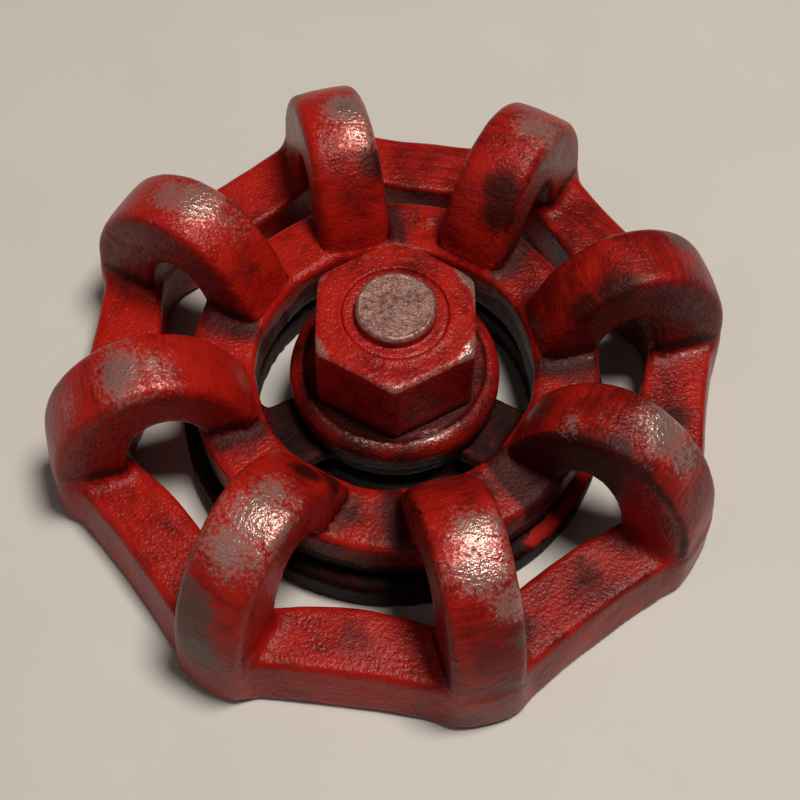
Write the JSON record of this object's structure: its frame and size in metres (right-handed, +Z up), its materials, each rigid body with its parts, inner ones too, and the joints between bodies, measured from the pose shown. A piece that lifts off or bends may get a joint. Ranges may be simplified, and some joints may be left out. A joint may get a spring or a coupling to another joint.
{
  "type": "valve handwheel",
  "caption": "Round valve handwheel with arched finger grips around an inner ring, on a stem that turns in a bush, held by a dished collar and a hexagon nut.",
  "frame": {"origin": "on the stem axis, at the underside of the base ring", "axes": "+Z up the stem; two of the eight grip bows stand 22.5 degrees either side of +X"},
  "size_m": [0.1056, 0.1056, 0.0329],
  "materials": {
    "red_paint": "worn gloss paint over a dark casting",
    "bare_casting": "dark base coat, as cast",
    "steel": "worn bare steel",
    "bronze": "turned"
  },
  "bodies": {
    "base": {"base_ring": "bare_casting", "base_spider": "bare_casting", "stem_bush": "bronze", "thrust_washer": "bronze"},
    "handwheel": {"outer_rim": "red_paint", "inner_ring": "red_paint", "hub_boss": "bare_casting", "hub_arm_1": "bare_casting", "hub_arm_2": "bare_casting", "hub_arm_3": "bare_casting", "grip_bow_1": "red_paint", "grip_bow_2": "red_paint", "grip_bow_3": "red_paint", "grip_bow_4": "red_paint", "grip_bow_5": "red_paint", "grip_bow_6": "red_paint", "grip_bow_7": "red_paint", "grip_bow_8": "red_paint", "stem": "steel", "retaining_ring": "steel"},
    "collar": {"collar": "red_paint"},
    "nut": {"hex_nut": "red_paint"}
  },
  "joints": [
    {"name": "wheel_turn", "type": "hinge", "parent": "base", "child": "handwheel", "pos_m": [0, 0, 0], "axis": [0, 0, 1], "continuous": true},
    {"name": "collar_lift", "type": "slide", "parent": "handwheel", "child": "collar", "axis": [0, 0, 1], "range_m": [0, 0.01]},
    {"name": "nut_turn", "type": "hinge", "parent": "collar", "child": "nut", "pos_m": [0, 0, 0.0164], "axis": [0, 0, 1], "range_deg": [0, 1800]}
  ],
  "couplings": [
    {"joint": "collar_lift", "follows": "nut_turn", "m_per_rad": 0.00031831}
  ]
}
